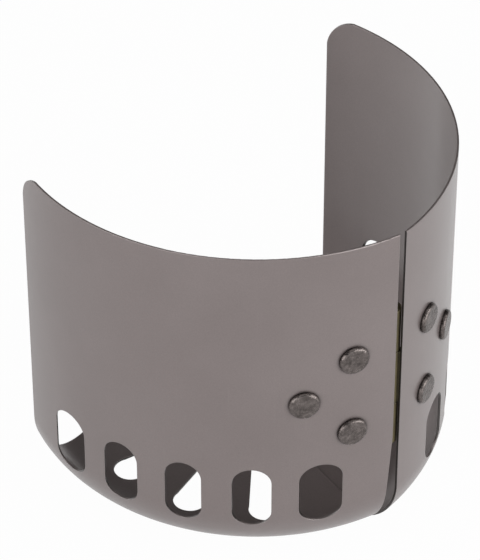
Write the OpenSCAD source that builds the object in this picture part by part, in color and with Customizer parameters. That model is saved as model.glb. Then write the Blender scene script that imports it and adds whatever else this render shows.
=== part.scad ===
// Clip-on stove windscreen: two pressed sheet panels that swing on one riveted hinge.
// Millimetres. The screen stands on z = 0, the hinge is at the front (-Y), the mouth opens to +Y.
// Each panel is drawn round its own axis with the seam at -Y, then swung inward about the hinge pin.
// The left floor lies one sheet higher than the right one, so that it laps over it when the panels close.

/* [Screen] */
// Height of the wall above the table
screen_height = 84.4; // [75:0.2:100]
// Outer radius of the wall
screen_radius = 54; // [50:0.5:62]
// Thickness of the sheet
sheet = 0.5; // [0.4:0.1:1]
// Outer radius of the pressed corner between wall and floor
corner_radius = 15; // [10:0.5:16]
// Angle from the seam to the free edge of one panel, in degrees
panel_angle = 100; // [92:1:106]
// Radius of the rounded upper corner at the free edge
rim_corner = 8.5; // [4:0.5:14]
// Rounding of the rim's two edges
rim_round = 0.15; // [0.05:0.05:0.2]

/* [Air slots in the wall] */
// Width of the punch that makes a slot
slot_width = 8.2; // [6:0.1:9]
// Height of a slot, over its round ends
slot_height = 15.9; // [12:0.1:18]
// Height of the slots' centres above the table
slot_centre = 20.1; // [18:0.1:24]
// Distance along the wall from the seam to the first slot
slot_first = 17.5; // [15:0.5:20]
// Distance along the wall from slot to slot
slot_pitch = 15; // [12:0.1:15.5]
// Number of slots in one panel
slot_count = 5; // [2:1:5]

/* [Floor] */
// Radius of the notch that goes round the canister's valve collar
collar_radius = 17; // [14:0.5:19]
// Angle between the two long edges of a floor slot, in degrees
floor_slot_spread = 11.8; // [8:0.2:14]
// Radius at which a floor slot starts
floor_slot_inner = 20; // [19:0.5:27]
// Radius at which a floor slot ends
floor_slot_outer = 40; // [34:0.2:41]
// Angle from the seam to the first floor slot, in degrees
floor_slot_first = 29.9; // [26:0.1:32]
// Angle from floor slot to floor slot, in degrees
floor_slot_pitch = 27.4; // [25:0.1:29]
// Number of floor slots in one panel
floor_slot_count = 3; // [1:1:3]
// Angle from the seam to the round tip of the claw, in degrees
claw_angle = 128; // [120:1:134]
// Radius of the claw's tip
claw_radius = 7; // [5:0.5:8]
// Distance from the wall's inner face to the root of the claw's straight edge
claw_inset = 4; // [2:0.5:8]
// Height on the wall at which the left panel's seam edge starts to run back
relief_height = 30; // [24:0.5:34]
// Distance by which that edge has run back where the wall meets the pressed corner
relief_depth = 1.1; // [0.8:0.1:2]
// Radius on the floor at which that edge is back on the seam
relief_floor = 36; // [32:0.5:38]

/* [Hinge] */
// Angle by which the two panels are folded inward from the full circle, in degrees
fold = 16.5; // [8:0.5:18]
// Gap between the wall edges when the panels stand in one circle
seam_gap = 1; // [0.6:0.1:1.4]
// Height of the hinge
hinge_height = 36; // [30:1:42]
// Height of the hinge's middle above the table
hinge_centre = 45.6; // [40:0.1:52]
// Thickness of a hinge leaf
leaf_thickness = 1; // [0.8:0.1:1.3]
// Outer radius of the knuckles
knuckle_radius = 2.2; // [2:0.1:2.8]
// Height of the middle knuckle
middle_knuckle = 14; // [10:1:18]
// Radius of the leaf's round nose about the outer rivet
leaf_nose = 6.5; // [5:0.5:8]
// Height by which the outer knuckles stand past the leaf's plate at each end
knuckle_proud = 0.4; // [0.2:0.1:1]
// Radius of the hinge pin
pin_radius = 1.2; // [1:0.1:1.4]
// Radius of the pin's peened ends
pin_head_radius = 1.9; // [1.7:0.1:2]
// Height of the pin's peened ends
pin_head_height = 0.8; // [0.5:0.1:1.2]

/* [Rivets] */
// Distance along the wall from the seam to the two inner rivets
rivet_near = 10.6; // [9:0.1:12]
// Distance along the wall from the seam to the outer rivet
rivet_far = 21.4; // [19:0.1:24]
// Distance from the leaf's upper or lower edge to the inner rivet there
rivet_edge = 7.85; // [6:0.05:9]
// Radius of a rivet's head
head_radius = 3.35; // [3:0.05:4.2]
// Height of a rivet's head above the wall
head_height = 0.95; // [0.8:0.05:1.8]
// Rounding of the head's shoulder
head_shoulder = 0.6; // [0.4:0.1:0.8]
// Radius of a rivet's shank
shank_radius = 1.8; // [1.5:0.1:2.2]
// Radius of the formed end inside
tail_radius = 2.8; // [2.4:0.1:3.2]
// Height of the formed end above the leaf
tail_height = 1; // [0.8:0.1:1.3]
// Rounding of the formed end's shoulder
tail_shoulder = 0.6; // [0.3:0.1:0.7]

/* [Fits] */
// Gap between the two floors where they lap
lap_gap = 0.1; // [0.05:0.05:0.3]
// Radial clearance of the pin in its knuckles
pin_clearance = 0.05; // [0.02:0.01:0.1]
// Gap between the ends of neighbouring knuckles
knuckle_gap = 0.2; // [0.2:0.05:0.5]
// Gap between a knuckle and the leaf that swings round it
swing_gap = 0.35; // [0.3:0.05:0.6]
// Depth of the knuckles below the leaf's face on the wall
knuckle_drop = 0.25; // [0.2:0.05:0.5]
// Seating gap between riveted faces
seat_gap = 0.02; // [0.01:0.01:0.05]
// Radial clearance of a rivet's shank in its holes
shank_clearance = 0.05; // [0.02:0.01:0.1]

/* [Hidden] */
$fa = 2;
$fs = 0.25;

// Overlap that makes joined solids one, and margin by which a cutter passes a face
bite = 0.5;
// Angle by which the claw's sweep runs back into the wall's, in degrees
overlap_angle = 1;
// Depth of cutters that pass the wall, enough for the bend of the widest outline
wall_cut = 8;
// Excess of an outline's arcs over its straight edges, so that they cross instead of grazing
arc_excess = 0.1;
// Reach of cutters that pass the whole part
reach = 3*screen_radius;

inner_radius = screen_radius - sheet;
floor_radius = screen_radius - corner_radius;
half_fold = fold/2;
// Height of the left floor above the table
lap_rise = sheet + lap_gap;

// Radii of the leaf's two faces, counted from the panel's axis
leaf_outer = inner_radius - seat_gap;
leaf_inner = leaf_outer - leaf_thickness;
// Distance from the panel's axis to the hinge pin
hinge_radius = leaf_outer - knuckle_drop - knuckle_radius;
hinge_bottom = hinge_centre - hinge_height/2;
hinge_top = hinge_centre + hinge_height/2;
middle_bottom = hinge_centre - middle_knuckle/2;
middle_top = hinge_centre + middle_knuckle/2;
// Half height of a leaf's plate, and height between the two inner rivets
leaf_half = hinge_height/2 - knuckle_proud;
rivet_spacing = 2*(leaf_half - rivet_edge);
// Angles from the seam, worked out from lengths along the wall
function along_wall(length) = length/screen_radius*180/PI;
near_angle = along_wall(rivet_near);
far_angle = along_wall(rivet_far);

// Plan point at an angle from the seam and a distance from the panel's axis
function plan(radius, angle) = [radius*sin(angle), -radius*cos(angle)];
// The same point after the panel is swung inward about the pin
function swung(p) = [
    p[0]*cos(half_fold) - (p[1] + hinge_radius)*sin(half_fold),
    p[0]*sin(half_fold) + (p[1] + hinge_radius)*cos(half_fold) - hinge_radius
];

// Centre of the claw's round tip, and the point where the claw's edge leaves the panel's free edge
claw_tip = plan(collar_radius + claw_radius, claw_angle);
claw_root = plan(inner_radius - claw_inset, panel_angle);

// Front and back of the folded part, and the shift that puts its middle over the origin
front_y = swung([seam_gap/2, -screen_radius])[1];
back_y = swung(claw_tip)[1] + claw_radius;
shift_y = -(front_y + back_y)/2;

// Section of the pressed sheet's foot: floor and corner
module foot_section() {
    translate([collar_radius, 0])
        square([floor_radius - collar_radius, sheet]);
    intersection() {
        translate([floor_radius, corner_radius])
            difference() {
                circle(corner_radius);
                circle(corner_radius - sheet);
            }
        translate([floor_radius, 0])
            square(corner_radius);
    }
}

// Section of the whole sheet, of a given height: foot and wall with a rounded rim
module sheet_section(height) {
    foot_section();
    translate([inner_radius, corner_radius])
        square([sheet, height - rim_round - corner_radius]);
    translate([inner_radius + rim_round, height - 2*rim_round])
        square([sheet - 2*rim_round, 2*rim_round]);
    for (side = [inner_radius + rim_round, screen_radius - rim_round])
        translate([side, height - rim_round])
            circle(rim_round);
}

// Turns the section about the panel's axis, from one angle to another
module swept(from, to) {
    rotate([0, 0, from - 90])
        rotate_extrude(angle = to - from)
            children();
}

// Plan of the claw: a straight edge from the panel's free edge that runs onto the round tip
module claw_plan() {
    to_tip = claw_tip - claw_root;
    edge_heading = atan2(to_tip[1], to_tip[0]) - asin(claw_radius/norm(to_tip));
    touch = claw_tip + claw_radius*[sin(edge_heading), -cos(edge_heading)];
    back_in = plan(norm(claw_root), panel_angle - 2*overlap_angle);
    polygon([[0, 0], back_in, claw_root, touch, claw_tip]);
    translate(claw_tip)
        circle(claw_radius);
}

// Runs an outline through the wall, square to it at an angle from the seam
module through_wall(angle, height) {
    rotate([0, 0, angle])
        translate([0, -screen_radius + wall_cut, height])
            rotate([90, 0, 0])
                linear_extrude(wall_cut + bite)
                    children();
}

// Punches the row of slots in one stroke: they stand evenly along the wall, and all go through it
// in the direction of the row's middle, which makes the outer slots wider on the wall
module slot_row() {
    middle = along_wall(slot_first + (slot_count - 1)/2*slot_pitch);
    for (i = [0 : slot_count - 1])
        rotate([0, 0, middle])
            translate([screen_radius*sin(along_wall(slot_first + i*slot_pitch) - middle), 0, slot_centre])
                rotate([90, 0, 0])
                    linear_extrude(screen_radius + bite)
                        slot_outline(slot_width, slot_height);
}

// Slot outline with round ends
module slot_outline(width, length) {
    square([width, length - width], center = true);
    for (end = [-1, 1])
        translate([0, end*(length - width)/2])
            circle(d = width);
}

// What is cut from a square upper corner at the free edge
module rim_corner_cut() {
    difference() {
        translate([-rim_corner, -rim_corner])
            square(rim_corner + bite);
        translate([-rim_corner, -rim_corner])
            circle(rim_corner + arc_excess);
    }
}

// One air slot on the floor: both long edges lie along radii of the panel, and the ends are round
module floor_slot(angle) {
    half = floor_slot_spread/2;
    near = (floor_slot_inner + arc_excess)/(1 - sin(half));
    far = (floor_slot_outer - arc_excess)/(1 + sin(half));
    rotate([0, 0, angle])
        translate([0, 0, -bite])
            linear_extrude(corner_radius) {
                polygon([
                    plan(near*cos(half), -half), plan(far*cos(half), -half),
                    plan(far*cos(half), half), plan(near*cos(half), half)
                ]);
                for (end = [near, far])
                    translate([0, -end])
                        circle(end*sin(half) + arc_excess);
            }
}

// Places one rivet's centre line: the child's z axis runs out through the wall
module on_rivet(angle, height) {
    rotate([0, 0, angle])
        translate([0, 0, height])
            rotate([90, 0, 0])
                children();
}

// The three rivet holes of one side, through panel and leaf
module rivet_holes() {
    for (place = [[near_angle, rivet_spacing/2], [near_angle, -rivet_spacing/2], [far_angle, 0]])
        on_rivet(place[0], hinge_centre + place[1])
            translate([0, 0, hinge_radius/2])
                cylinder(r = shank_radius + shank_clearance, h = reach);
}

// What the relief takes off a seam edge: all on the seam's side of a plane that starts on the wall,
// lies deepest in the pressed corner and ends on the floor
module seam_relief(rise) {
    per_height = relief_depth/(relief_height - rise - corner_radius);
    per_radius = per_height*(relief_height - rise)/(screen_radius - relief_floor);
    translate([seam_gap/2, -screen_radius, relief_height])
        rotate([0, -atan2(per_height, norm([1, per_radius])), atan2(per_radius, 1)])
            translate([-reach, -reach/2, -reach/2])
                cube(reach);
}

// Right-hand panel in its own circle with its floor at a height, before it is swung inward.
// What is given with it is cut off too.
module panel_shape(rise) {
    difference() {
        translate([0, 0, rise]) {
            swept(0, panel_angle)
                sheet_section(screen_height - rise);
            intersection() {
                swept(panel_angle - overlap_angle, 180)
                    foot_section();
                linear_extrude(corner_radius)
                    claw_plan();
            }
        }
        slot_row();
        for (i = [0 : floor_slot_count - 1])
            floor_slot(floor_slot_first + i*floor_slot_pitch);
        through_wall(panel_angle, screen_height)
            rim_corner_cut();
        rivet_holes();
        translate([-reach + seam_gap/2, -reach/2, -bite])
            cube([reach, reach, screen_height + 2*bite]);
        children();
    }
}

// Outline of a leaf's plate, seen square to the wall at the inner rivets.
// It is nearly as high as the hinge at the barrel and narrows to a round nose about the outer rivet.
module leaf_outline() {
    straight_end = leaf_half - arc_excess;
    rise = rivet_spacing/2;
    nose = leaf_outer*sin(far_angle - near_angle);
    barrel_side = -leaf_outer*sin(near_angle) - bite;
    slant = acos((rivet_edge - leaf_nose)/norm([nose, rise])) - atan2(rise, nose);
    square_to_slant = [cos(slant), -sin(slant)];
    lower_lobe = [0, -rise] + (rivet_edge - arc_excess)*square_to_slant;
    lower_nose = [nose, 0] + (leaf_nose - arc_excess)*square_to_slant;
    polygon([
        [barrel_side, -straight_end],
        [0, -straight_end],
        lower_lobe,
        lower_nose,
        [lower_nose[0], -lower_nose[1]],
        [lower_lobe[0], -lower_lobe[1]],
        [0, straight_end],
        [barrel_side, straight_end]
    ]);
    for (end = [-1, 1])
        translate([0, end*rise])
            circle(rivet_edge);
    translate([nose, 0])
        circle(leaf_nose);
}

// Plate of one leaf, bent to the wall, cut back round the other leaf's knuckles
module leaf_plate(cleared_spans) {
    difference() {
        intersection() {
            swept(0, 2*far_angle)
                translate([leaf_inner, hinge_bottom - bite])
                    square([leaf_thickness, hinge_height + 2*bite]);
            through_wall(near_angle, hinge_centre)
                leaf_outline();
            translate([seam_gap/2, -reach, 0])
                cube([reach, reach, screen_height]);
        }
        for (span = cleared_spans)
            on_pin(span[0])
                cylinder(r = knuckle_radius + swing_gap, h = span[1] - span[0]);
    }
}

// Places a child on the hinge pin at a height
module on_pin(height) {
    translate([0, -hinge_radius, height])
        children();
}

// One leaf with its knuckles and its bores
module leaf_shape(knuckle_spans, cleared_spans) {
    difference() {
        union() {
            leaf_plate(cleared_spans);
            for (span = knuckle_spans)
                on_pin(span[0])
                    cylinder(r = knuckle_radius, h = span[1] - span[0]);
        }
        on_pin(hinge_bottom - bite)
            cylinder(r = pin_radius + pin_clearance, h = hinge_height + 2*bite);
        rivet_holes();
    }
}

// Low dome of a given radius and height, standing on z = 0
module dome(radius, height) {
    ball = (radius*radius + height*height)/(2*height);
    rotate_extrude()
        intersection() {
            translate([0, height - ball])
                circle(ball);
            square([radius, height]);
        }
}

// Flat button with a round shoulder, standing on z = 0 with a skirt below it
module button(radius, height, shoulder) {
    rotate_extrude() {
        translate([0, -bite])
            square([radius, height - shoulder + bite]);
        square([radius - shoulder, height]);
        translate([radius - shoulder, height - shoulder])
            circle(shoulder);
    }
}

// One rivet: head hollowed to the wall, shank through panel and leaf, formed end on the leaf
module rivet_shape(angle, height) {
    difference() {
        on_rivet(angle, height)
            translate([0, 0, screen_radius])
                button(head_radius, head_height, head_shoulder);
        cylinder(r = screen_radius + seat_gap, h = screen_height);
    }
    on_rivet(angle, height)
        translate([0, 0, leaf_inner - tail_height/2])
            cylinder(r = shank_radius, h = screen_radius + (head_height + tail_height)/2 - leaf_inner);
    intersection() {
        on_rivet(angle, height)
            translate([0, 0, leaf_inner])
                mirror([0, 0, 1])
                    button(tail_radius, tail_height, tail_shoulder);
        cylinder(r = leaf_inner - seat_gap, h = screen_height);
    }
}

// Hinge pin with both ends peened over the outer knuckles
module pin_shape() {
    run_in = seat_gap + pin_head_height/2;
    on_pin(hinge_bottom - run_in)
        cylinder(r = pin_radius, h = hinge_height + 2*run_in);
    on_pin(hinge_top + seat_gap)
        dome(pin_head_radius, pin_head_height);
    on_pin(hinge_bottom - seat_gap)
        mirror([0, 0, 1])
            dome(pin_head_radius, pin_head_height);
}

// Swings a right-hand piece inward about the pin and sets it in the part's frame
module right_side() {
    translate([0, shift_y - hinge_radius, 0])
        rotate([0, 0, half_fold])
            translate([0, hinge_radius, 0])
                children();
}

// The same for a left-hand piece, drawn as its mirror image
module left_side() {
    mirror([1, 0, 0])
        right_side()
            children();
}

// Heights of the knuckles on each leaf, and of the spaces that the other leaf leaves for them
outer_spans = [
    [hinge_bottom, middle_bottom - knuckle_gap/2],
    [middle_top + knuckle_gap/2, hinge_top]
];
middle_spans = [[middle_bottom + knuckle_gap/2, middle_top - knuckle_gap/2]];
space_for_middle = [[middle_bottom - knuckle_gap, middle_top + knuckle_gap]];
space_for_outer = [
    [hinge_bottom - bite, middle_bottom + knuckle_gap],
    [middle_top - knuckle_gap, hinge_top + bite]
];

anodised = "#8b837f";
plated = "#9c8a5e";
gunmetal = "#3b3938";

module left_panel() {
    color(anodised)
        left_side()
            panel_shape(lap_rise)
                seam_relief(lap_rise);
}

module right_panel() {
    color(anodised)
        right_side()
            panel_shape(0);
}

module left_hinge_leaf() {
    color(plated)
        left_side()
            leaf_shape(outer_spans, space_for_middle);
}

module right_hinge_leaf() {
    color(plated)
        right_side()
            leaf_shape(middle_spans, space_for_outer);
}

module hinge_pin() {
    color(plated)
        left_side()
            pin_shape();
}

module left_rivet(angle, rise) {
    color(gunmetal)
        left_side()
            rivet_shape(angle, hinge_centre + rise);
}

module right_rivet(angle, rise) {
    color(gunmetal)
        right_side()
            rivet_shape(angle, hinge_centre + rise);
}

left_panel();
right_panel();
left_hinge_leaf();
right_hinge_leaf();
hinge_pin();
left_rivet(near_angle, rivet_spacing/2);  // left_upper_rivet
left_rivet(near_angle, -rivet_spacing/2);  // left_lower_rivet
left_rivet(far_angle, 0);  // left_outer_rivet
right_rivet(near_angle, rivet_spacing/2);  // right_upper_rivet
right_rivet(near_angle, -rivet_spacing/2);  // right_lower_rivet
right_rivet(far_angle, 0);  // right_outer_rivet
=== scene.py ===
from math import cos, radians, sin

import bpy
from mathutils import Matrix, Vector

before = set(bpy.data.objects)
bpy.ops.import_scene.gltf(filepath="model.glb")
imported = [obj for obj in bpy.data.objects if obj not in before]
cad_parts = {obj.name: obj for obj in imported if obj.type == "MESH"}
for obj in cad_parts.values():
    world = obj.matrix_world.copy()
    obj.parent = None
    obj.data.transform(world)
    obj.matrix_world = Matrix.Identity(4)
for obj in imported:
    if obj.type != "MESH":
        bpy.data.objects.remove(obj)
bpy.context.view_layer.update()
print("windscreen: frame loaded,", len(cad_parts), "pieces")

scene = bpy.context.scene
scene.view_settings.view_transform = "Standard"


# azimuth 0 is the hinge side, 90 the right half's side, in degrees
def heading(azimuth, elevation):
    around, above = radians(azimuth), radians(elevation)
    return Vector((sin(around) * cos(above), -cos(around) * cos(above), sin(above)))


# camera at the photograph's angle, framed for 480 x 560
cameraSet = {
    "azimuth": -41.447,
    "elevation": 37.824,
    "distance": 0.70465,
    "aim": (-0.0027, 0.00866, 0.04606),
    "lens": 205.7,
    "sensor": 36.0,
    "clip": (0.01, 50.0),
}


def makeCamera(spec):
    back = heading(spec["azimuth"], spec["elevation"])
    data = bpy.data.cameras.new("camera")
    data.lens, data.sensor_width = spec["lens"], spec["sensor"]
    data.clip_start, data.clip_end = spec["clip"]
    cam = bpy.data.objects.new("camera", data)
    cam.location = Vector(spec["aim"]) + back * spec["distance"]
    cam.rotation_euler = back.to_track_quat("Z", "Y").to_euler()
    scene.collection.objects.link(cam)
    scene.camera = cam


makeCamera(cameraSet)
print("windscreen: camera set")


# node helpers: a value given to a socket is either a number or another node's output
def feed(tree, value, socket):
    if isinstance(value, bpy.types.NodeSocket):
        tree.links.new(value, socket)
    elif value is not None:
        socket.default_value = value


def newMaterial(name):
    mat = bpy.data.materials.new(name)
    mat.use_nodes = True
    tree = mat.node_tree
    tree.nodes.clear()
    out = tree.nodes.new("ShaderNodeOutputMaterial")
    skin = tree.nodes.new("ShaderNodeBsdfPrincipled")
    tree.links.new(skin.outputs["BSDF"], out.inputs["Surface"])
    return mat, tree, skin, out


def newGroup(name, takes, gives):
    group = bpy.data.node_groups.new(name, "ShaderNodeTree")
    for label, kind, value in takes:
        socket = group.interface.new_socket(label, in_out="INPUT", socket_type=kind)
        socket.default_value = value
    for label, kind in gives:
        group.interface.new_socket(label, in_out="OUTPUT", socket_type=kind)
    return group, group.nodes.new("NodeGroupInput"), group.nodes.new("NodeGroupOutput")


def place(tree, group, values):
    node = tree.nodes.new("ShaderNodeGroup")
    node.node_tree = group
    for label, value in values.items():
        node.inputs[label].default_value = value
    return node


def calc(tree, kind, first, second=None, clamp=False):
    node = tree.nodes.new("ShaderNodeMath")
    node.operation, node.use_clamp = kind, clamp
    feed(tree, first, node.inputs[0])
    feed(tree, second, node.inputs[1])
    return node.outputs[0]


def vectorCalc(tree, kind, first, second=None):
    node = tree.nodes.new("ShaderNodeVectorMath")
    node.operation = kind
    feed(tree, first, node.inputs[0])
    feed(tree, second, node.inputs[1])
    return node.outputs["Value" if kind == "DOT_PRODUCT" else "Vector"]


def remap(tree, value, low, high, newLow=0.0, newHigh=1.0):
    node = tree.nodes.new("ShaderNodeMapRange")
    for label, number in (
        ("Value", value),
        ("From Min", low),
        ("From Max", high),
        ("To Min", newLow),
        ("To Max", newHigh),
    ):
        feed(tree, number, node.inputs[label])
    return node.outputs["Result"]


def noise(tree, where, scale, detail, rough=0.5):
    node = tree.nodes.new("ShaderNodeTexNoise")
    for label, value in (("Vector", where), ("Scale", scale), ("Detail", detail), ("Roughness", rough)):
        feed(tree, value, node.inputs[label])
    return node.outputs["Fac"]


def mixColour(tree, amount, first, second, kind="MIX"):
    node = tree.nodes.new("ShaderNodeMix")
    node.data_type, node.blend_type = "RGBA", kind
    for slot, value in ((0, amount), (6, first), (7, second)):  # the factor and the two colour sockets
        feed(tree, value, node.inputs[slot])
    return node.outputs[2]


def objectSpace(tree):
    return tree.nodes.new("ShaderNodeTexCoord").outputs["Object"]


# edge wear: bare metal along sharp edges, broken up by noise
edgeSet = {
    "samples": 6,
    "start": 0.004,  # how far an edge turns before wear shows
    "spotScale": 420.0,
    "spotDetail": 3.0,
    "spotRange": (0.35, 0.65),
}


def buildEdgeWear(spec):
    group, given, out = newGroup(
        "edgeWear",
        [
            ("Radius", "NodeSocketFloat", 0.0004),
            ("Reach", "NodeSocketFloat", 0.25),
            ("Patchiness", "NodeSocketFloat", 0.4),
        ],
        [("Mask", "NodeSocketFloat"), ("Soft Normal", "NodeSocketVector")],
    )
    bevel = group.nodes.new("ShaderNodeBevel")
    bevel.samples = spec["samples"]
    feed(group, given.outputs["Radius"], bevel.inputs["Radius"])
    soft = bevel.outputs["Normal"]
    flat = group.nodes.new("ShaderNodeNewGeometry").outputs["Normal"]
    bend = calc(group, "SUBTRACT", 1.0, vectorCalc(group, "DOT_PRODUCT", soft, flat), clamp=True)
    edge = remap(group, bend, spec["start"], given.outputs["Reach"])
    spots = noise(group, objectSpace(group), spec["spotScale"], spec["spotDetail"])
    broken = remap(group, spots, *spec["spotRange"])
    keep = calc(group, "SUBTRACT", 1.0, calc(group, "MULTIPLY", broken, given.outputs["Patchiness"]))
    feed(group, calc(group, "MULTIPLY", edge, keep), out.inputs["Mask"])
    feed(group, soft, out.inputs["Soft Normal"])
    return group


# surface grain: slow cloudiness, fine tooth and a relief height
grainSet = {
    "cloudDetail": 4.0,
    "cloudRough": 0.55,
    "cloudRange": (0.3, 0.7),
    "cloudShare": 0.2,  # of the relief
    "toothDetail": 2.0,
    "toothRough": 0.6,
    "toothRange": (0.25, 0.75),
    "toothShare": 0.8,
}


def buildGrain(spec):
    group, given, out = newGroup(
        "surfaceGrain",
        [("Cloud Scale", "NodeSocketFloat", 40.0), ("Tooth Scale", "NodeSocketFloat", 2600.0)],
        [("Cloud", "NodeSocketFloat"), ("Tooth", "NodeSocketFloat"), ("Relief", "NodeSocketFloat")],
    )
    where = objectSpace(group)
    cloud = noise(group, where, given.outputs["Cloud Scale"], spec["cloudDetail"], spec["cloudRough"])
    tooth = noise(group, where, given.outputs["Tooth Scale"], spec["toothDetail"], spec["toothRough"])
    feed(group, remap(group, cloud, *spec["cloudRange"]), out.inputs["Cloud"])
    feed(group, remap(group, tooth, *spec["toothRange"]), out.inputs["Tooth"])
    fine = calc(group, "MULTIPLY", tooth, spec["toothShare"])
    slow = calc(group, "MULTIPLY", cloud, spec["cloudShare"])
    feed(group, calc(group, "ADD", fine, slow), out.inputs["Relief"])
    return group


# handling marks: faint upright and crossing scratches from nesting and packing
scuffSet = {
    "strokes": [((0.0, 0.35, 0.2), 42.0), ((0.9, -0.2, 1.1), 55.0)],  # turn in radians, thinness
    "strokeDetail": 1.0,
    "strokeRange": (0.66, 0.74),
    "patchScale": 55.0,
    "patchDetail": 2.0,
    "patchRange": (0.5, 0.68),
}


def buildScuffs(spec):
    group, given, out = newGroup(
        "handlingScuffs",
        [("Length", "NodeSocketFloat", 30.0), ("Amount", "NodeSocketFloat", 0.5)],
        [("Mask", "NodeSocketFloat")],
    )
    where = objectSpace(group)
    total = None
    for turn, squeeze in spec["strokes"]:
        mapping = group.nodes.new("ShaderNodeMapping")
        feed(group, where, mapping.inputs["Vector"])
        mapping.inputs["Rotation"].default_value = turn
        mapping.inputs["Scale"].default_value = (squeeze, squeeze, 1.0)
        lines = noise(group, mapping.outputs["Vector"], given.outputs["Length"], spec["strokeDetail"])
        thin = remap(group, lines, *spec["strokeRange"])
        total = thin if total is None else calc(group, "MAXIMUM", total, thin)
    patch = remap(group, noise(group, where, spec["patchScale"], spec["patchDetail"]), *spec["patchRange"])
    worn = calc(group, "MULTIPLY", calc(group, "MULTIPLY", total, patch), given.outputs["Amount"])
    feed(group, worn, out.inputs["Mask"])
    return group


# cut-face shade: painted shade on the sheared faces where the sheet's thickness shows; such a face looks
# along the wall and not out of it
shearSet = {"upright": (0.0, 0.0, 1.0), "range": (0.35, 0.8)}


def buildCutFaceShade(spec):
    group, given, out = newGroup(
        "cutFaceShade",
        [("Axis", "NodeSocketVector", (0.0, 0.0, 0.0))],
        [("Mask", "NodeSocketFloat")],
    )
    spot = group.nodes.new("ShaderNodeTexCoord")
    outward = vectorCalc(group, "SUBTRACT", spot.outputs["Object"], given.outputs["Axis"])
    along = vectorCalc(group, "NORMALIZE", vectorCalc(group, "CROSS_PRODUCT", spec["upright"], outward))
    turned = calc(group, "ABSOLUTE", vectorCalc(group, "DOT_PRODUCT", spot.outputs["Normal"], along))
    feed(group, remap(group, turned, *spec["range"]), out.inputs["Mask"])
    return group


# crevice shade: painted shade, near black where another surface lies close by
creviceSet = {"samples": 8, "open": 0.9, "closed": 0.5}


def buildCreviceShade(spec):
    group, given, out = newGroup(
        "creviceShade",
        [("Reach", "NodeSocketFloat", 0.001), ("Amount", "NodeSocketFloat", 0.8)],
        [("Mask", "NodeSocketFloat")],
    )
    near = group.nodes.new("ShaderNodeAmbientOcclusion")
    near.samples = spec["samples"]
    feed(group, given.outputs["Reach"], near.inputs["Distance"])
    closed = remap(group, near.outputs["AO"], spec["open"], spec["closed"])
    feed(group, calc(group, "MULTIPLY", closed, given.outputs["Amount"]), out.inputs["Mask"])
    return group


edgeWear, surfaceGrain = buildEdgeWear(edgeSet), buildGrain(grainSet)
handlingScuffs, cutFaceShade = buildScuffs(scuffSet), buildCutFaceShade(shearSet)
creviceShade = buildCreviceShade(creviceSet)
print("windscreen: node groups built")


# fine relief over softened edges
def addRelief(tree, skin, grain, wear, strength, depth):
    bump = tree.nodes.new("ShaderNodeBump")
    bump.inputs["Strength"].default_value = strength
    bump.inputs["Distance"].default_value = depth
    feed(tree, grain.outputs["Relief"], bump.inputs["Height"])
    feed(tree, wear.outputs["Soft Normal"], bump.inputs["Normal"])
    feed(tree, bump.outputs["Normal"], skin.inputs["Normal"])


# matte hard-anodised sheet of the two panels
sheetSet = {
    "dark": (0.222, 0.184, 0.179, 1.0),
    "light": (0.248, 0.208, 0.203, 1.0),
    "cutEdge": (0.30, 0.275, 0.265, 1.0),
    # painted shade colour for the cut faces
    "cutFaceShadeColour": (0.045, 0.038, 0.035, 1.0),
    # painted shade colour for the crevices
    "paintedShadeColour": (0.018, 0.014, 0.012, 1.0),
    "speck": (0.94, 1.06),  # brightness of the fine tooth
    "grain": {"Cloud Scale": 34.0, "Tooth Scale": 3200.0},
    "wear": {"Radius": 0.00035, "Reach": 0.3, "Patchiness": 0.35},
    "marks": {"Length": 26.0, "Amount": 0.08},
    "paintedShade": {"Reach": 0.0011, "Amount": 0.8},
    "axis": (0.007322, 0.014516, 0.0),  # of the left panel's wall, the right panel's mirrors it
    "metallic": 0.6,
    "rough": (0.36, 0.42),
    "wornSmooth": 0.1,  # how much smoother a worn edge is
    "film": 0.85,  # clear oxide film
    "filmRough": 0.22,
    "bump": 0.05,
    "depth": 0.0002,
}


def makeSheet(spec, side, name):
    mat, tree, skin, _ = newMaterial(name)
    grain = place(tree, surfaceGrain, spec["grain"])
    wear = place(tree, edgeWear, spec["wear"])
    marks = place(tree, handlingScuffs, spec["marks"])
    paintedShade = place(tree, creviceShade, spec["paintedShade"])
    acrossX, alongY, upZ = spec["axis"]
    cutShade = place(tree, cutFaceShade, {"Axis": (side * acrossX, alongY, upZ)})

    tone = mixColour(tree, grain.outputs["Cloud"], spec["dark"], spec["light"])
    speck = remap(tree, grain.outputs["Tooth"], 0.0, 1.0, *spec["speck"])
    colour = mixColour(tree, 1.0, tone, speck, "MULTIPLY")
    # the cut faces and the crevices get painted shade; the handling marks and the edge wear are real bare
    # metal
    for layer, paint in ((marks, "cutEdge"), (wear, "cutEdge"), (cutShade, "cutFaceShadeColour"), (paintedShade, "paintedShadeColour")):
        colour = mixColour(tree, layer.outputs["Mask"], colour, spec[paint])
    feed(tree, colour, skin.inputs["Base Color"])

    rough = remap(tree, grain.outputs["Tooth"], 0.0, 1.0, *spec["rough"])
    polish = calc(tree, "MULTIPLY", wear.outputs["Mask"], spec["wornSmooth"])
    feed(tree, calc(tree, "SUBTRACT", rough, polish), skin.inputs["Roughness"])
    # where the crevice shade is painted the clear film is taken away too, so the painted shade also dims
    # the reflection there
    clear = remap(tree, paintedShade.outputs["Mask"], 0.0, 1.0, spec["film"], 0.0)
    feed(tree, clear, skin.inputs["Coat Weight"])
    skin.inputs["Coat Roughness"].default_value = spec["filmRough"]
    skin.inputs["Metallic"].default_value = spec["metallic"]
    addRelief(tree, skin, grain, wear, spec["bump"], spec["depth"])
    return mat


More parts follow.
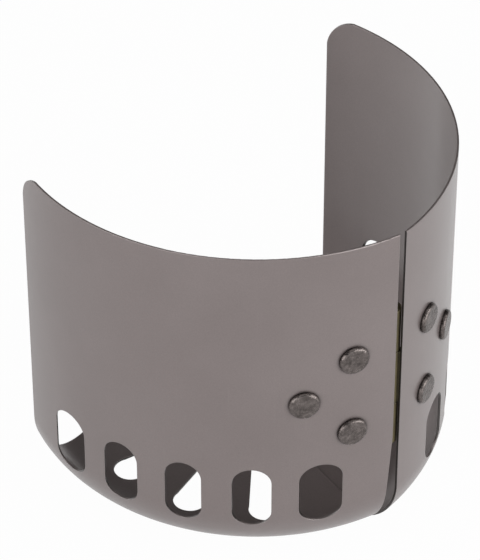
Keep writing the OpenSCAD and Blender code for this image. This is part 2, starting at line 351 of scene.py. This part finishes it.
# yellow-passivated steel of the hinge leaves and pin
hingeSet = {
    "straw": (0.185, 0.148, 0.07, 1.0),
    "olive": (0.112, 0.095, 0.049, 1.0),
    "bare": (0.22, 0.20, 0.15, 1.0),
    # painted shade colour for the crevices
    "paintedShadeColour": (0.02, 0.016, 0.01, 1.0),
    "grain": {"Cloud Scale": 120.0, "Tooth Scale": 1700.0},
    "wear": {"Radius": 0.0003, "Reach": 0.3, "Patchiness": 0.6},
    "marks": {"Length": 60.0, "Amount": 0.5},
    "paintedShade": {"Reach": 0.001, "Amount": 0.7},
    "metallic": 0.7,
    "rough": (0.34, 0.52),
    "bump": 0.12,
    "depth": 0.0002,
}


def makePassivated(spec):
    mat, tree, skin, _ = newMaterial("passivatedSteel")
    grain = place(tree, surfaceGrain, spec["grain"])
    wear = place(tree, edgeWear, spec["wear"])
    marks = place(tree, handlingScuffs, spec["marks"])
    paintedShade = place(tree, creviceShade, spec["paintedShade"])
    colour = mixColour(tree, grain.outputs["Cloud"], spec["olive"], spec["straw"])
    # the crevices get painted shade; the handling marks and the edge wear are real bare steel
    for layer, paint in ((marks, "bare"), (wear, "bare"), (paintedShade, "paintedShadeColour")):
        colour = mixColour(tree, layer.outputs["Mask"], colour, spec[paint])
    feed(tree, colour, skin.inputs["Base Color"])
    rough = remap(tree, grain.outputs["Tooth"], 0.0, 1.0, *spec["rough"])
    feed(tree, rough, skin.inputs["Roughness"])
    skin.inputs["Metallic"].default_value = spec["metallic"]
    addRelief(tree, skin, grain, wear, spec["bump"], spec["depth"])
    return mat


# dark polished steel of the rivets, mottled on the hammered tops
rivetSet = {
    "dark": (0.055, 0.047, 0.044, 1.0),
    "light": (0.25, 0.216, 0.206, 1.0),
    "bright": (0.34, 0.315, 0.30, 1.0),
    # painted shade colour for the crevices round the heads
    "paintedShadeColour": (0.02, 0.017, 0.016, 1.0),
    "grain": {"Cloud Scale": 700.0, "Tooth Scale": 1500.0},
    "wear": {"Radius": 0.0007, "Reach": 1.0, "Patchiness": 0.9},
    "paintedShade": {"Reach": 0.001, "Amount": 0.8},
    "cloudShare": 0.5,  # of the mottle, the tooth gives the same
    "metallic": 0.92,
    "rough": (0.15, 0.34),
    "bump": 0.5,
    "depth": 0.0003,
}


def makeGunmetal(spec):
    mat, tree, skin, _ = newMaterial("gunmetalSteel")
    grain = place(tree, surfaceGrain, spec["grain"])
    wear = place(tree, edgeWear, spec["wear"])
    paintedShade = place(tree, creviceShade, spec["paintedShade"])
    both = calc(tree, "ADD", grain.outputs["Cloud"], grain.outputs["Tooth"])
    mottle = calc(tree, "MULTIPLY", both, spec["cloudShare"])
    colour = mixColour(tree, mottle, spec["dark"], spec["light"])
    # the crevices get painted shade; the edge wear is real bright metal
    for layer, paint in ((wear, "bright"), (paintedShade, "paintedShadeColour")):
        colour = mixColour(tree, layer.outputs["Mask"], colour, spec[paint])
    feed(tree, colour, skin.inputs["Base Color"])
    rough = remap(tree, grain.outputs["Tooth"], 0.0, 1.0, *spec["rough"])
    feed(tree, rough, skin.inputs["Roughness"])
    skin.inputs["Metallic"].default_value = spec["metallic"]
    addRelief(tree, skin, grain, wear, spec["bump"], spec["depth"])
    return mat


leftSheet, rightSheet = makeSheet(sheetSet, 1, "leftSheet"), makeSheet(sheetSet, -1, "rightSheet")
passivatedSteel, gunmetalSteel = makePassivated(hingeSet), makeGunmetal(rivetSet)
for name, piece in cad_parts.items():
    if name.endswith("_panel"):
        finish = leftSheet if name.startswith("left") else rightSheet
    elif name.endswith("_rivet"):
        finish = gunmetalSteel
    else:
        finish = passivatedSteel
    piece.data.materials.clear()
    piece.data.materials.append(finish)
print("windscreen: finishes on", len(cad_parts), "pieces")


# white floor that keeps a faint shadow
stageSet = {
    "size": 6.0,
    "drop": 0.0001,
    "shade": (0.82, 0.82, 0.82, 1.0),
    "white": (1.0, 1.0, 1.0, 1.0),
    "rough": 0.9,
    "clean": 0.975,  # how far the camera sees plain white instead of the shaded floor
    "mirrored": 0.45,  # the same in metal
}


def makeFloor(spec):
    half = spec["size"] / 2
    outline = ((-half, -half), (half, -half), (half, half), (-half, half))
    mesh = bpy.data.meshes.new("studioFloor")
    mesh.from_pydata([(x, y, -spec["drop"]) for x, y in outline], [], [(0, 1, 2, 3)])
    floor = bpy.data.objects.new("studioFloor", mesh)
    scene.collection.objects.link(floor)
    mat, tree, skin, out = newMaterial("studioWhite")
    skin.inputs["Base Color"].default_value = spec["shade"]
    skin.inputs["Roughness"].default_value = spec["rough"]
    glow = tree.nodes.new("ShaderNodeEmission")
    glow.inputs["Color"].default_value = spec["white"]
    path = tree.nodes.new("ShaderNodeLightPath").outputs
    direct = calc(tree, "MAXIMUM", path["Is Camera Ray"], path["Is Transmission Ray"])
    direct = calc(tree, "MULTIPLY", direct, spec["clean"])
    mirrored = calc(tree, "MULTIPLY", path["Is Glossy Ray"], spec["mirrored"])
    blend = tree.nodes.new("ShaderNodeMixShader")
    feed(tree, calc(tree, "MAXIMUM", direct, mirrored), blend.inputs[0])
    feed(tree, skin.outputs["BSDF"], blend.inputs[1])
    feed(tree, glow.outputs["Emission"], blend.inputs[2])
    feed(tree, blend.outputs["Shader"], out.inputs["Surface"])
    mesh.materials.append(mat)


makeFloor(stageSet)


# soft studio light: a white tent whose walls are bright low down, and three soft boxes
lightSet = {
    "walls": [  # azimuth and strength of each bright wall
        (-41.0, 0.7),
        (20.0, 1.3),
        (80.0, 0.1),
        (180.0, 0.2),
        (220.0, 1.4),
    ],
    "falloff": 2.0,  # how quickly a wall dims to its sides
    "roof": 0.06,
    "fade": (0.1, 0.5),  # heights of the direction where wall turns into roof, 1 is straight up
    "white": (1.0, 1.0, 1.0, 1.0),
    "boxes": [  # name, azimuth, elevation, distance, width, height, watts
        ("leftBox", -86.0, 4.0, 0.9, 1.2, 1.0, 7.4),
        ("frontBox", 25.0, 12.0, 0.9, 0.9, 0.8, 6.8),
        ("topBox", 0.0, 88.0, 1.0, 1.0, 1.0, 3.0),
    ],
    "centre": (0.0, 0.0, 0.04),  # what the boxes point at
}


def makeWorld(spec):
    world = bpy.data.worlds.new("studio")
    scene.world = world
    world.use_nodes = True
    tree = world.node_tree
    tree.nodes.clear()
    out = tree.nodes.new("ShaderNodeOutputWorld")
    tent, plain = tree.nodes.new("ShaderNodeBackground"), tree.nodes.new("ShaderNodeBackground")
    for sky in (tent, plain):
        sky.inputs["Color"].default_value = spec["white"]
    where = tree.nodes.new("ShaderNodeTexCoord").outputs["Generated"]
    glow = 0.0
    for azimuth, strength in spec["walls"]:
        facing = vectorCalc(tree, "DOT_PRODUCT", where, heading(azimuth, 0.0))
        lobe = calc(tree, "POWER", calc(tree, "MAXIMUM", facing, 0.0), spec["falloff"])
        glow = calc(tree, "ADD", calc(tree, "MULTIPLY", lobe, strength), glow)
    split = tree.nodes.new("ShaderNodeSeparateXYZ")
    feed(tree, where, split.inputs[0])
    shine = remap(tree, split.outputs["Z"], *spec["fade"], glow, spec["roof"])
    feed(tree, shine, tent.inputs["Strength"])
    path = tree.nodes.new("ShaderNodeLightPath").outputs
    seen = calc(tree, "MAXIMUM", path["Is Camera Ray"], path["Is Transmission Ray"])
    shown = tree.nodes.new("ShaderNodeMixShader")
    feed(tree, seen, shown.inputs[0])
    feed(tree, tent.outputs["Background"], shown.inputs[1])
    feed(tree, plain.outputs["Background"], shown.inputs[2])
    feed(tree, shown.outputs["Shader"], out.inputs["Surface"])


def makeBoxes(spec):
    for name, azimuth, elevation, distance, width, height, watts in spec["boxes"]:
        away = heading(azimuth, elevation)
        data = bpy.data.lights.new(name, "AREA")
        data.shape, data.size, data.size_y, data.energy = "RECTANGLE", width, height, watts
        lamp = bpy.data.objects.new(name, data)
        lamp.location = Vector(spec["centre"]) + away * distance
        lamp.rotation_euler = away.to_track_quat("Z", "Y").to_euler()
        scene.collection.objects.link(lamp)


makeWorld(lightSet)
makeBoxes(lightSet)
print("windscreen: stage and light set")
